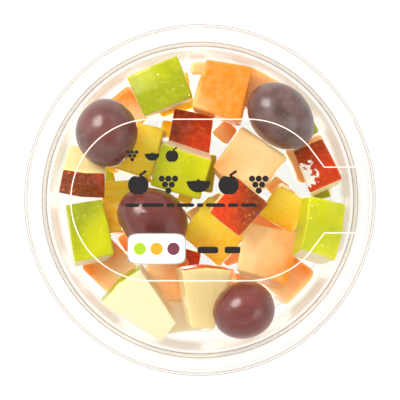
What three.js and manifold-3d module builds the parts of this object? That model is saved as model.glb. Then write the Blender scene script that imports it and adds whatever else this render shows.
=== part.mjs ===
// A round clear tub of fruit salad with its clear push-fit lid and a clear seal label across the lid.
// Inside lie cut apple, orange melon, yellow melon and whole red grapes, heaped as they fell.
// Millimetres, +Z up. The origin is the middle of the tub's foot, on the table.
import * as THREE from "three";
import { mergeVertices } from "three/addons/utils/BufferGeometryUtils.js";
import Module from "manifold-3d";

const wasm = await Module();
wasm.setup();

// Driving dimensions of the tub and lid
const LID_DIAMETER = 117;
const OVERALL_HEIGHT = 60;
const TUB_WALL = 0.6;
const LID_WALL = 0.5;
const FIT_GAP = 0.3; // free space between lid and tub, and round each piece of fruit
const ROUND_SEGMENTS = 48;

// The tub: foot ring, drafted wall, a stacking step near the top and a flange
const FOOT_INNER_RADIUS = 41.6;
const FOOT_OUTER_RADIUS = 44.4;
const FOOT_RISE = 1.3; // how far the middle of the base stands clear of the table
const WALL_FOOT_RADIUS = 47.5;
const WALL_FOOT_HEIGHT = 3;
const STEP_RADIUS = 49.8;
const STEP_HEIGHT = OVERALL_HEIGHT - 10.5;
const STEP_RISE = 0.8;
const MOUTH_RADIUS = 50.9;
const SEAT_RADIUS = 53.6;
const SEAT_DEPTH = 3.6; // from the flange down to where the mouth begins to open out
const FLANGE_RADIUS = 56.6;
const FLANGE_LIP = 1.3;

// The lid: a flat ring on the flange, a recessed panel inside it and a skirt outside it
const RING_INNER_RADIUS = 52.3;
const RING_OUTER_RADIUS = 57.1;
const PANEL_RADIUS = 51.1;
const PANEL_DEPTH = 2.6;
const SKIRT_DROP = 5.4;
const SKIRT_RADIUS = LID_DIAMETER / 2;
const BEAD_INSET = 0.35; // the skirt's bead, which catches under the flange

// The seal label: a round-ended patch on the panel with a neck that runs over the rim
const LABEL_THICKNESS = 0.2;
const LABEL_LIFT = 0.08;
const LABEL_END_RADIUS = 27;
const LABEL_HALF_LENGTH = 16.1; // from the middle to the centre of each round end
const LABEL_SHOULDER_ANGLE = 42; // where the right end's arc runs into the straight shoulder, in degrees
const NECK_START = 41.3;
const NECK_HALF_WIDTH = 11.15;
const LABEL_LAST_POINT = 7; // the point of the lid's line where the neck ends, part way down the skirt
const LABEL_END_SEGMENTS = 14;

const LID_TOP = OVERALL_HEIGHT;
const FLANGE_TOP = LID_TOP - LID_WALL - FIT_GAP;
const PANEL_TOP = LID_TOP - PANEL_DEPTH;

// The fruit
const APPLE_RADIUS = 36; // of the whole apple, so of every piece of skin
const APPLE_EDGE = 0.7; // a knife edge, barely rounded
const APPLE_NARROW = 0.16; // how much narrower a cube of apple is at its foot, as it came from a wedge
const MELON_EDGE = 1.3; // melon is softer, so its edges slump
const CUT_UNEVENNESS = 0.07; // how far a cut block is out of square, as a share of its size
const UNEVENNESS_SEED = 11;
const OFFCUT_SEED = 11;
const GRAPE_SEGMENTS = 14;
const GRAPE_STEPS = 9;
const GRAPE_SCAR_DEPTH = 0.5;

const APPLE_GREEN = { color: 0xc3d02a, roughness: 0.35, metalness: 0 };
const APPLE_RED = { color: 0xc4401f, roughness: 0.35, metalness: 0 };
const MELON_ORANGE = { color: 0xf6b04e, roughness: 0.4, metalness: 0 };
const MELON_YELLOW = { color: 0xf3cf45, roughness: 0.4, metalness: 0 };
const GRAPE_RED = { color: 0x6e4046, roughness: 0.25, metalness: 0 };
const CLEAR_PLASTIC = { color: 0xf4f3f0, roughness: 0.1, metalness: 0, transparent: true, opacity: 0.3 };
const CLEAR_FILM = { color: 0xffffff, roughness: 0.2, metalness: 0, transparent: true, opacity: 0.35 };

const degrees = THREE.MathUtils.degToRad;

// The bottom of the heap, which nothing shows: the kind of each piece, its place in plan and its turn.
const BOTTOM_SIDE = 13.5;
const BOTTOM_HEIGHT = 12;
const BOTTOM_LAYER = [
  ["melon", -16, 13.5, -14],
  ["green_apple", -37.5, 11, 16],
  ["melon", -37.5, -8, 12],
  ["yellow_melon", -18, -3, -30],
  ["melon", -25, -28, 40],
  ["red_apple", -7, -22, -12],
  ["green_apple", -6, -38, 8],
  ["melon", 11.5, -31.5, -20],
  ["yellow_melon", 27.5, -26, -40],
  ["green_apple", 38, -8, -12],
  ["melon", 21.5, -8, 20],
  ["red_apple", 4.5, -6, 35],
  ["melon", 37, 13.5, 22],
  ["yellow_melon", 27, 27, 45],
  ["red_apple", 16, 15, -35],
  ["melon", 9.5, 36.5, 12],
  ["yellow_melon", -9, 35.5, 14],
  ["melon", -25, 29.5, 40],
  ["green_apple", -0.5, 9.5, -6],
];

// Offcuts that slipped down between them, so that little of the floor shows: the same, with the side.
const OFFCUTS = [
  ["melon", 10.4, -17.8, 20, 8.4],
  ["melon", -24.4, -14, 38, 6.2],
  ["melon", 27, 4.4, 50, 7],
  ["melon", 8.6, 22.6, 50, 7.2],
  ["yellow_melon", -5.4, -0.6, -25, 5.6],
  ["green_apple", 41, 3, 15, 6.6],
  ["melon", -0.6, 42.2, 0, 5.2],
  ["yellow_melon", -13.6, 24, -10, 6],
];

// The pieces above them, in the order in which they fell. at is the middle in plan, size is width, depth
// and height in the piece's own frame, where an apple's skin is the top. turn is a turn about the piece's
// own upright axis, and lean then tips its top, in degrees towards +X and towards +Y. narrow is how much of
// an apple wedge's width is gone where its core was.
const MIDDLE_LAYER = [
  { kind: "yellow_melon", at: [-21.4, 16.8], size: [16.5, 18, 14], turn: -14, lean: [0, 0] },
  { kind: "yellow_melon", at: [-26, -2.5], size: [14, 17, 14], turn: 8, lean: [0, 0] },
  { kind: "yellow_melon", at: [5.5, -11], size: [18, 17, 14], turn: -38, lean: [0, 0] },
  { kind: "yellow_melon", at: [28.4, -2.8], size: [13, 13, 14], turn: -32, lean: [0, 0] },
  { kind: "melon", at: [-29.2, -23.5], size: [14, 16, 13], turn: 44, lean: [0, 0] },
  { kind: "melon", at: [-12.8, -26], size: [14.5, 15, 14], turn: -6, lean: [0, 0] },
  { kind: "melon", at: [28.2, -26], size: [13, 14, 14], turn: -38, lean: [0, 0] },
  { kind: "green_apple", at: [32.6, 26.2], size: [12.5, 12, 12], turn: 30, lean: [0, 0] },
  { kind: "melon", at: [19, 35.5], size: [14, 13, 14], turn: -28, lean: [0, 0] },
  { kind: "red_apple", at: [-5, 22.3], size: [15, 15, 13], turn: -8, lean: [4, -4] },
  { kind: "melon", at: [-14.5, 35], size: [14, 13, 13], turn: 22, lean: [0, 0] },
  { kind: "red_apple", at: [13.5, 8], size: [14, 15, 12], turn: -35, lean: [180, 0] },
  { kind: "melon", at: [6.5, -31], size: [12.5, 12.5, 10.5], turn: 14, lean: [0, 0] },
];

const TOP_LAYER = [
  { kind: "melon", at: [7.6, 36.3], size: [17, 18.5, 14], turn: -13, lean: [10, 4] },
  { kind: "red_apple", at: [-37.6, 7.6], size: [15.5, 12, 13], turn: -11, lean: [0, -38] },
  { kind: "green_apple", at: [-36.8, -10.3], size: [13.6, 20, 12], turn: 11, lean: [4, -3] },
  { kind: "melon", at: [16.4, 13.2], size: [18.3, 18.6, 13], turn: -37, lean: [6, 3] },
  { kind: "red_apple", at: [40.6, 11], size: [11.6, 16, 12], turn: 24, lean: [6, 6] },
  { kind: "melon", at: [22.8, -18.4], size: [18, 18.5, 13], turn: -14, lean: [-6, 0] },
  { kind: "red_apple", at: [14.6, -3.6], size: [14, 14.5, 12], turn: -40, lean: [4, -8] },
  { kind: "green_apple", at: [40.6, -11.6], size: [14, 20, 11], turn: -12, lean: [22, 3] },
  { kind: "green_apple", at: [-19, -35.4], size: [18, 14.5, 23.5], turn: 45, lean: [-54, 54], narrow: 0.5 },
  { kind: "red_apple", at: [0, -31.5], size: [18, 12, 21], turn: 4, lean: [3, 82], narrow: 0.6 },
  { kind: "green_apple", at: [-11.6, 37.4], size: [19, 14.8, 13], turn: 23, lean: [14, 4] },
  { kind: "green_apple", at: [-3, 9.6], size: [18, 15, 11], turn: -17, lean: [0, 0] },
  { kind: "grape", at: [-16.3, -6.3], size: [25.5, 20.6], turn: -28, lean: [0, 0] },
  { kind: "grape", at: [-31.4, 22], size: [23.6, 20.8], turn: 95, lean: [0, 0] },
  { kind: "grape", at: [23, 28.6], size: [26, 20.2], turn: -46, lean: [0, 0] },
  { kind: "grape", at: [14.4, -38], size: [21.8, 19.4], turn: 20, lean: [0, 0] },
];

// Settling: how far a piece may tip and slide from where it was dropped, and in what steps it tries
const MAP_CELL = 0.5;
const MAP_REACH = 54;
const MAP_SIDE = Math.round((2 * MAP_REACH) / MAP_CELL);
const LEAN_STEPS = [6, 3, 1.5, 0.75];
const SLIDE_STEPS = [1.2, 0.6, 0.3, 0.15];
const LOOK_AROUND = 3; // how far from its place a piece first looks for a hollow, in whole millimetres
const BOTTOM_LOOK_AROUND = 4;
const LEAN_COST = 0.004; // height worth giving up, in mm, per degree squared of extra tipping
const SLIDE_COST = 0.3; // and per mm squared of sliding
const BOTTOM_SLIDE_COST = 0.02; // the same for a piece at the bottom, whose place is free

// A seeded generator of even draws from 0 to 1, so that every build is the same.
function seededDraws(seed) {
  let state = seed;
  return () => {
    state = (state + 0x6d2b79f5) | 0;
    let mixed = Math.imul(state ^ (state >>> 15), 1 | state);
    mixed = (mixed + Math.imul(mixed ^ (mixed >>> 7), 61 | mixed)) ^ mixed;
    return ((mixed ^ (mixed >>> 14)) >>> 0) / 4294967296;
  };
}

// A geometry with nothing but welded positions, as a solid needs.
function welded(geometry) {
  const bare = geometry.clone();
  bare.deleteAttribute("normal");
  bare.deleteAttribute("uv");
  return mergeVertices(bare, 1e-3);
}

// A closed profile of [radius, height] points, turned about the Z axis.
function turned(profile) {
  const points = [...profile, profile[0]].map(([radius, height]) => new THREE.Vector2(radius, height));
  return welded(new THREE.LatheGeometry(points, ROUND_SEGMENTS).rotateX(Math.PI / 2));
}

// A line of [radius, height] points moved sideways, to its right-hand side as it runs outwards. Corners are
// mitred, so that the two lines keep the same distance all along.
function offsetLine(line, distance) {
  const sides = line.slice(1).map(([radius, height], index) => {
    const along = new THREE.Vector2(radius - line[index][0], height - line[index][1]).normalize();
    return new THREE.Vector2(along.y, -along.x);
  });
  return line.map(([radius, height], index) => {
    const before = sides[Math.max(index - 1, 0)];
    const after = sides[Math.min(index, sides.length - 1)];
    const mitre = before.clone().add(after).multiplyScalar(distance / (1 + before.dot(after)));
    return [radius === 0 ? 0 : radius + mitre.x, height + mitre.y];
  });
}

// A thin shell turned about the Z axis. The line is its upper and outer side, from the middle outwards.
function shell(line, wall) {
  return turned([...offsetLine(line, wall), ...line.toReversed()]);
}

// The tub's inner line, from the middle of the base to the flange's lip.
function tubLine() {
  const floor = FOOT_RISE + TUB_WALL;
  return [
    [0, floor],
    [FOOT_INNER_RADIUS - 1, floor],
    [FOOT_INNER_RADIUS + 0.2, TUB_WALL],
    [FOOT_OUTER_RADIUS - 0.2, TUB_WALL],
    [WALL_FOOT_RADIUS - 0.5, WALL_FOOT_HEIGHT - 1.2],
    [WALL_FOOT_RADIUS, WALL_FOOT_HEIGHT],
    [STEP_RADIUS, STEP_HEIGHT],
    [MOUTH_RADIUS, STEP_HEIGHT + STEP_RISE],
    [MOUTH_RADIUS + 0.3, FLANGE_TOP - SEAT_DEPTH],
    [SEAT_RADIUS - 0.4, FLANGE_TOP - 0.5],
    [SEAT_RADIUS + 0.2, FLANGE_TOP],
    [FLANGE_RADIUS - 0.6, FLANGE_TOP],
    [FLANGE_RADIUS - 0.1, FLANGE_TOP - FLANGE_LIP],
  ];
}

// The lid's outer line, from the middle of the panel to the foot of the skirt.
function lidLine() {
  const skirtTop = LID_TOP - 0.7;
  const skirtFoot = LID_TOP - SKIRT_DROP;
  const beadHeight = FLANGE_TOP - FLANGE_LIP - 1.2;
  return [
    [0, PANEL_TOP],
    [PANEL_RADIUS - 0.5, PANEL_TOP],
    [PANEL_RADIUS + 0.2, PANEL_TOP + 0.5],
    [RING_INNER_RADIUS - 0.3, LID_TOP - 0.4],
    [RING_INNER_RADIUS + 0.4, LID_TOP],
    [RING_OUTER_RADIUS - 0.2, LID_TOP],
    [RING_OUTER_RADIUS + 0.4, skirtTop],
    [SKIRT_RADIUS - 0.7, beadHeight + 1.1],
    [SKIRT_RADIUS - 0.7 - BEAD_INSET, beadHeight],
    [SKIRT_RADIUS - 0.6, skirtFoot + 0.5],
    [SKIRT_RADIUS, skirtFoot],
  ];
}

// The label's outline in plan: two round ends, two shoulders and the neck.
function labelOutline() {
  const shape = new THREE.Shape();
  const shoulder = degrees(LABEL_SHOULDER_ANGLE);
  const quarter = Math.PI / 2;
  shape.moveTo(SKIRT_RADIUS, NECK_HALF_WIDTH);
  shape.lineTo(NECK_START, NECK_HALF_WIDTH);
  shape.absarc(LABEL_HALF_LENGTH, 0, LABEL_END_RADIUS, shoulder, quarter, false);
  shape.absarc(-LABEL_HALF_LENGTH, 0, LABEL_END_RADIUS, quarter, 3 * quarter, false);
  shape.absarc(LABEL_HALF_LENGTH, 0, LABEL_END_RADIUS, 3 * quarter, 4 * quarter - shoulder, false);
  shape.lineTo(NECK_START, -NECK_HALF_WIDTH);
  shape.lineTo(SKIRT_RADIUS, -NECK_HALF_WIDTH);
  return shape;
}

// A geometry as a manifold-3d solid, and back.
function solidOf(geometry) {
  const merged = welded(geometry.index ? geometry.toNonIndexed() : geometry);
  const vertProperties = merged.attributes.position.array;
  const triVerts = new Uint32Array(merged.index.array);
  return new wasm.Manifold(new wasm.Mesh({ numProp: 3, vertProperties, triVerts }));
}

function geometryOf(solid) {
  const mesh = solid.getMesh();
  const geometry = new THREE.BufferGeometry();
  geometry.setAttribute("position", new THREE.BufferAttribute(mesh.vertProperties, 3));
  geometry.setIndex(new THREE.BufferAttribute(mesh.triVerts, 1));
  return geometry;
}

// The label: a film that follows the lid from its middle over the rim, cut to the label's outline.
function sealLabel() {
  const covered = lidLine().slice(0, LABEL_LAST_POINT + 1);
  const film = shell(offsetLine(covered, -LABEL_LIFT - LABEL_THICKNESS), LABEL_THICKNESS);
  const cutter = new THREE.ExtrudeGeometry(labelOutline(), {
    depth: OVERALL_HEIGHT,
    bevelEnabled: false,
    curveSegments: LABEL_END_SEGMENTS,
  });
  return geometryOf(solidOf(film).intersect(solidOf(cutter.translate(0, 0, OVERALL_HEIGHT / 2))));
}

// A cut block: a box whose grid is drawn in towards its edges, rounded there, then knocked out of square.
// crownRadius rounds the whole top as fruit skin is round, on a finer grid, and narrow is the share of the
// width that is gone at the foot, where the two cuts of a wedge run together.
function cutBlock([width, depth, height], edge, crownRadius, narrow, draw) {
  const cuts = crownRadius ? 4 : 3;
  const half = new THREE.Vector3(width / 2, depth / 2, height / 2);
  const core = half.clone().subScalar(edge);
  const geometry = welded(new THREE.BoxGeometry(2, 2, 2, cuts, cuts, cuts));
  const points = geometry.attributes.position;
  const skew = Array.from({ length: 6 }, () => (2 * draw() - 1) * CUT_UNEVENNESS);
  const spread = (share, whole, inner) => {
    if (Math.abs(share) > 0.99) return share * whole;
    return Math.abs(share) < 0.01 ? 0 : Math.sign(share) * inner;
  };
  for (let i = 0; i < points.count; i += 1) {
    const point = new THREE.Vector3(
      spread(points.getX(i), half.x, core.x),
      spread(points.getY(i), half.y, core.y),
      spread(points.getZ(i), half.z, core.z),
    );
    const inner = point.clone().clamp(core.clone().negate(), core);
    const outwards = point.clone().sub(inner).setLength(edge);
    point.addVectors(inner, outwards);
    if (crownRadius && point.z > 0) {
      point.z -= ((point.x ** 2 + point.y ** 2) / (2 * crownRadius)) * (point.z / half.z);
    }
    const share = point.clone().divide(half);
    const wedge = 1 - (narrow * (1 - share.z)) / 2;
    points.setXYZ(
      i,
      point.x * wedge * (1 + skew[0] * share.z + skew[1] * share.y),
      point.y * (1 + skew[2] * share.z + skew[3] * share.x),
      point.z * (1 + skew[4] * share.x + skew[5] * share.y),
    );
  }
  return geometry;
}

// A grape: an egg turned about its long axis, with the small sunk scar where its stalk was.
function grapeSolid({ size: [length, width] }) {
  const profile = [];
  for (let step = 0; step <= GRAPE_STEPS; step += 1) {
    const angle = (Math.PI * step) / GRAPE_STEPS;
    const plump = 1 + 0.06 * Math.cos(angle);
    const scar = step === GRAPE_STEPS ? GRAPE_SCAR_DEPTH : 0;
    profile.push(
      new THREE.Vector2((width / 2) * Math.sin(angle) * plump, -(length / 2) * Math.cos(angle) - scar),
    );
  }
  return welded(new THREE.LatheGeometry(profile, GRAPE_SEGMENTS).rotateZ(Math.PI / 2));
}

const appleSolid = ({ size, narrow = APPLE_NARROW, buried }, draw) =>
  cutBlock(size, APPLE_EDGE, buried ? 0 : APPLE_RADIUS, narrow, draw);
const melonSolid = ({ size }, draw) => cutBlock(size, MELON_EDGE, 0, 0, draw);

const FRUIT_KINDS = {
  green_apple: { look: APPLE_GREEN, solid: appleSolid },
  red_apple: { look: APPLE_RED, solid: appleSolid },
  melon: { look: MELON_ORANGE, solid: melonSolid },
  yellow_melon: { look: MELON_YELLOW, solid: melonSolid },
  grape: { look: GRAPE_RED, solid: grapeSolid },
};

// The turn that tips a piece's top by these degrees towards +X and towards +Y.
function leanTurn([towardsX, towardsY]) {
  const amount = Math.hypot(towardsX, towardsY);
  const axis = amount ? new THREE.Vector3(-towardsY, towardsX, 0).normalize() : new THREE.Vector3(0, 0, 1);
  return new THREE.Quaternion().setFromAxisAngle(axis, degrees(amount));
}

// The height of the tub's inside at a distance from its axis, which is where an empty tub stops a piece.
function tubInsideHeight(radius) {
  if (radius < WALL_FOOT_RADIUS - 0.7) return FOOT_RISE + TUB_WALL;
  const up = (radius + 0.1 - WALL_FOOT_RADIUS) / (STEP_RADIUS - WALL_FOOT_RADIUS);
  if (up < 0) return WALL_FOOT_HEIGHT;
  return up > 1 ? 10 * OVERALL_HEIGHT : WALL_FOOT_HEIGHT + up * (STEP_HEIGHT - WALL_FOOT_HEIGHT);
}

// The height map of an empty tub: one number for each cell of a square grid in plan.
function emptyTubMap() {
  const map = new Float32Array(MAP_SIDE * MAP_SIDE);
  for (let row = 0; row < MAP_SIDE; row += 1) {
    for (let column = 0; column < MAP_SIDE; column += 1) {
      const x = (column + 0.5) * MAP_CELL - MAP_REACH;
      const y = (row + 0.5) * MAP_CELL - MAP_REACH;
      map[row * MAP_SIDE + column] = tubInsideHeight(Math.hypot(x, y) + FIT_GAP) + FIT_GAP;
    }
  }
  return map;
}

// The lowest and highest point of a piece over each map cell that it covers.
function silhouette(geometry, turn, at) {
  const points = geometry.attributes.position;
  const moved = Array.from({ length: points.count }, (_, i) => {
    const point = new THREE.Vector3().fromBufferAttribute(points, i).applyQuaternion(turn);
    return [(point.x + at[0] + MAP_REACH) / MAP_CELL, (point.y + at[1] + MAP_REACH) / MAP_CELL, point.z];
  });
  const cells = new Map();
  const index = geometry.index.array;
  for (let i = 0; i < index.length; i += 3) {
    const [a, b, c] = [moved[index[i]], moved[index[i + 1]], moved[index[i + 2]]];
    const area = (b[0] - a[0]) * (c[1] - a[1]) - (c[0] - a[0]) * (b[1] - a[1]);
    if (Math.abs(area) < 1e-9) continue;
    const lastColumn = Math.ceil(Math.max(a[0], b[0], c[0]));
    const lastRow = Math.ceil(Math.max(a[1], b[1], c[1]));
    for (let row = Math.floor(Math.min(a[1], b[1], c[1])); row < lastRow; row += 1) {
      for (let column = Math.floor(Math.min(a[0], b[0], c[0])); column < lastColumn; column += 1) {
        const [x, y] = [column + 0.5 - a[0], row + 0.5 - a[1]];
        const shareB = (x * (c[1] - a[1]) - (c[0] - a[0]) * y) / area;
        const shareC = ((b[0] - a[0]) * y - x * (b[1] - a[1])) / area;
        if (shareB < 0 || shareC < 0 || shareB + shareC > 1) continue;
        const height = a[2] + shareB * (b[2] - a[2]) + shareC * (c[2] - a[2]);
        const key = row * MAP_SIDE + column;
        const cell = cells.get(key);
        if (!cell) cells.set(key, [height, height]);
        else if (height < cell[0]) cell[0] = height;
        else if (height > cell[1]) cell[1] = height;
      }
    }
  }
  return cells;
}

// How high a piece's middle lies once it has dropped straight down onto the heap.
function restingHeight(cells, map) {
  let height = -Infinity;
  for (const [key, [low]] of cells) height = Math.max(height, map[key] - low);
  return height;
}

// Drops a piece where it lies lowest near its place, then tips and slides it in shrinking steps as long as
// its middle sinks.
function settle(piece, geometry, map) {
  const start = leanTurn(piece.lean).multiply(
    new THREE.Quaternion().setFromAxisAngle(new THREE.Vector3(0, 0, 1), degrees(piece.turn)),
  );
  const judge = ([leanX, leanY, slideX, slideY]) => {
    const turn = leanTurn([leanX, leanY]).multiply(start);
    const at = [piece.at[0] + slideX, piece.at[1] + slideY];
    const cells = silhouette(geometry, turn, at);
    const height = restingHeight(cells, map);
    const slideCost = piece.buried ? BOTTOM_SLIDE_COST : SLIDE_COST;
    const moved = LEAN_COST * (leanX ** 2 + leanY ** 2) + slideCost * (slideX ** 2 + slideY ** 2);
    return { turn, at, cells, height, cost: height + moved };
  };
  let freedom = [0, 0, 0, 0];
  let best = judge(freedom);
  const lookAround = piece.buried ? BOTTOM_LOOK_AROUND : LOOK_AROUND;
  for (let slideX = -lookAround; slideX <= lookAround; slideX += 1) {
    for (let slideY = -lookAround; slideY <= lookAround; slideY += 1) {
      const found = judge([0, 0, slideX, slideY]);
      if (found.cost < best.cost) {
        best = found;
        freedom = [0, 0, slideX, slideY];
      }
    }
  }
  LEAN_STEPS.forEach((leanStep, round) => {
    const steps = [leanStep, leanStep, SLIDE_STEPS[round], SLIDE_STEPS[round]];
    for (let improved = true; improved; ) {
      improved = false;
      steps.forEach((step, axis) => {
        for (const way of [-step, step]) {
          const trial = freedom.map((value, i) => (i === axis ? value + way : value));
          const found = judge(trial);
          if (found.cost < best.cost - 1e-4) {
            best = found;
            freedom = trial;
            improved = true;
          }
        }
      });
    }
  });
  return best;
}

// Adds a settled piece to the map, one cell wider all round so that neighbours keep their gap.
function addToMap(map, { cells, height }) {
  for (const [key, [, high]] of cells) {
    for (const rowStep of [-MAP_SIDE, 0, MAP_SIDE]) {
      for (const columnStep of [-1, 0, 1]) {
        const near = key + rowStep + columnStep;
        map[near] = Math.max(map[near], high + height + FIT_GAP);
      }
    }
  }
}

function madeMesh(name, geometry, look) {
  const mesh = new THREE.Mesh(geometry, new THREE.MeshStandardMaterial(look));
  mesh.name = name;
  return mesh;
}

// A piece at the bottom, with the missing half of its row: a size a little off the common one, and no lean.
function bottomPiece([kind, x, y, turn, side = BOTTOM_SIDE], draw) {
  const sides = [side, side, BOTTOM_HEIGHT];
  const size = sides.map((length) => length * (1 + (2 * draw() - 1) * CUT_UNEVENNESS));
  return { kind, at: [x, y], size, turn, lean: [0, 0], buried: true, offcut: side < BOTTOM_SIDE };
}

// The heap of fruit: each piece is cut, dropped and settled in turn.
function fruitHeap() {
  const heap = new THREE.Group();
  const map = emptyTubMap();
  const draw = seededDraws(UNEVENNESS_SEED);
  const counts = {};
  const offcutDraw = seededDraws(OFFCUT_SEED);
  const bottom = BOTTOM_LAYER.map((row) => bottomPiece(row, draw));
  const offcuts = OFFCUTS.map((row) => bottomPiece(row, offcutDraw));
  for (const piece of [...bottom, ...offcuts, ...MIDDLE_LAYER, ...TOP_LAYER]) {
    const family = piece.offcut ? `${piece.kind}_offcut` : piece.kind;
    counts[family] = (counts[family] ?? 0) + 1;
    const { look, solid } = FRUIT_KINDS[piece.kind];
    const geometry = solid(piece, piece.offcut ? offcutDraw : draw);
    const rest = settle(piece, geometry, map);
    addToMap(map, rest);
    const mesh = madeMesh(`${family}_${counts[family]}`, geometry, look);
    mesh.quaternion.copy(rest.turn);
    mesh.position.set(rest.at[0], rest.at[1], rest.height);
    heap.add(mesh);
  }
  return heap;
}

const fruitSalad = new THREE.Group();
fruitSalad.add(madeMesh("tub", shell(tubLine(), TUB_WALL), CLEAR_PLASTIC));
fruitSalad.add(madeMesh("lid", shell(lidLine(), LID_WALL), CLEAR_PLASTIC));
fruitSalad.add(madeMesh("seal_label", sealLabel(), CLEAR_FILM));
fruitSalad.add(fruitHeap());

export default fruitSalad;
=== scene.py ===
# %% [markdown]
# # A tub of fruit salad, seen from above
# Cubes and wedges of apple, blocks of orange and yellow melon and whole red grapes lie in a clear tub.
# A clear lid is pressed over it and a clear label seals the lid. The CAD model already holds every piece
# at its real size and place, so this lesson only gives each one its finish. The first cell loads that
# frame and keeps its box, because the finished model may not grow out of it.

# %% Load the frame
import re

import bpy
import numpy as np
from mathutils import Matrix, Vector


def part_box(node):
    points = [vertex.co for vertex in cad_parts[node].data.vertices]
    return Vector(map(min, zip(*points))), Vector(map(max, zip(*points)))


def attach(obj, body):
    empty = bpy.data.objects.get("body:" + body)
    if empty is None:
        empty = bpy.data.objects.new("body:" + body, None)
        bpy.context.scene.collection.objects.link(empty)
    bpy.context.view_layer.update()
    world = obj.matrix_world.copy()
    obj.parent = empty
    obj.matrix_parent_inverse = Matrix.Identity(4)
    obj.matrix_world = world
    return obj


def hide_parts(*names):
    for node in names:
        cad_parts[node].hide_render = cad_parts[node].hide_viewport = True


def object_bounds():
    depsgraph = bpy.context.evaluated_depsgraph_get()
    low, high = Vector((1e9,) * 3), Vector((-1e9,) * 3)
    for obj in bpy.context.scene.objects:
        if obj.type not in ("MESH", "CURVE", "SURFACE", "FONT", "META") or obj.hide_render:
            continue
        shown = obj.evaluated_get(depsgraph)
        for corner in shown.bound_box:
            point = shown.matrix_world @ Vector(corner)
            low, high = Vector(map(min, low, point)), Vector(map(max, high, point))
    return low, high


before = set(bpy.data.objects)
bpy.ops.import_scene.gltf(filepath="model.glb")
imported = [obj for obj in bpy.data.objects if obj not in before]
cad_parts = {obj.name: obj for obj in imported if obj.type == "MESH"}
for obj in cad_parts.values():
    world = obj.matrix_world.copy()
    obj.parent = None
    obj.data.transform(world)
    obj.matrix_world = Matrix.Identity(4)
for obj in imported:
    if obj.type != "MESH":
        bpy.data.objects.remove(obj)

cad_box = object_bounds()
MM = 0.001
print("CAD box in mm:", [round(value / MM, 1) for corner in cad_box for value in corner])

# %% [markdown]
# ## Meshes from arrays
# Every shape below is an array of points and an array of four-sided faces. At the pole of a turned shape
# some faces have only three different corners, so the repeated corner is dropped when the mesh is filled.
# Numbers that a material needs at each point, such as how far it lies below the skin, go along as
# attributes.

# %% Put arrays into a mesh
SAME_POINT = 0.001 * MM  # points closer than this are one


def new_piece(name, points, faces, material, attributes=None, smooth=True):
    """Fills a mesh from points in metres and faces of four corners, less any corner that repeats."""
    kept = faces != np.roll(faces, 1, axis=1)
    corners = kept.sum(1)
    mesh = bpy.data.meshes.new(name)
    mesh.vertices.add(len(points))
    mesh.vertices.foreach_set("co", points.astype(np.float32).ravel())
    mesh.loops.add(int(corners.sum()))
    mesh.loops.foreach_set("vertex_index", faces[kept].astype(np.int32))
    mesh.polygons.add(len(faces))
    mesh.polygons.foreach_set("loop_start", np.concatenate([[0], np.cumsum(corners)[:-1]]).astype(np.int32))
    mesh.update(calc_edges=True)
    for key, values in (attributes or {}).items():
        flat = values.ndim == 1
        layer = mesh.attributes.new(key, "FLOAT" if flat else "FLOAT_VECTOR", "POINT")
        layer.data.foreach_set("value" if flat else "vector", values.astype(np.float32).ravel())
    mesh.validate()
    mesh.polygons.foreach_set("use_smooth", np.full(len(mesh.polygons), smooth))
    mesh.materials.append(material)
    piece = bpy.data.objects.new(name, mesh)
    bpy.context.scene.collection.objects.link(piece)
    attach(piece, "root")
    return piece


def welded(name):
    """The CAD node's points, each once, and its triangles."""
    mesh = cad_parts[name].data
    points = np.empty(len(mesh.vertices) * 3, np.float32)
    mesh.vertices.foreach_get("co", points)
    mesh.calc_loop_triangles()
    triangles = np.empty(len(mesh.loop_triangles) * 3, np.int32)
    mesh.loop_triangles.foreach_get("vertices", triangles)
    keys = np.round(points.reshape(-1, 3) / SAME_POINT).astype(np.int64)
    _, first, place = np.unique(keys, axis=0, return_index=True, return_inverse=True)
    return points.reshape(-1, 3)[first].astype(float), place.ravel()[triangles].reshape(-1, 3)


# %% [markdown]
# ## Unevenness
# Nothing that was cut by hand and has lain in a tub is quite flat. A smooth random height over space does
# for all of it: broad for a slumped block, stretched for melon fibres, fine for the cut cells of an apple.
# It is worked out here, not in a shader, wherever the change of shape would show at the outline.

# %% A smooth random height
LATTICE_PRIMES = np.array([73856093, 19349663, 83492791])
SEED_PRIME = 7919
HASH_FACTOR = 1274126177
HASH_BITS = 0xFFFF


def lumps(points, cell, seed):
    """Random values from -1 to 1 on the corners of a lattice of this cell size, hashed from each corner's
    whole-number place, and blended along the three axes with the smooth step 3t^2 - 2t^3."""
    scaled = points / cell
    base = np.floor(scaled).astype(np.int64)
    part = scaled - base
    part = part * part * (3 - 2 * part)
    total = np.zeros(len(points))
    for corner in range(8):
        step = np.array([corner & 1, corner >> 1 & 1, corner >> 2 & 1])
        key = (base + step) @ LATTICE_PRIMES + seed * SEED_PRIME
        key = (key ^ (key >> 13)) * HASH_FACTOR
        value = ((key ^ (key >> 16)) & HASH_BITS) * 2 / HASH_BITS - 1
        total += np.where(step, part, 1 - part).prod(1) * value
    return total


sample = lumps(np.random.default_rng(1).uniform(0, 0.1, (1000, 3)), 3 * MM, 1)
print("unevenness runs from", sample.min().round(2), "to", sample.max().round(2))

# %% [markdown]
# ## A grid round a block
# A cut block of fruit is a closed surface, so its grid is that of a box: two parameters on each of six
# sides, with the points on shared edges kept once. Rays from the block's middle through that grid meet the
# CAD solid's facets. As the solid is convex, a ray leaves it at the nearest of the facets' planes, and no
# search through triangles is needed.

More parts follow.
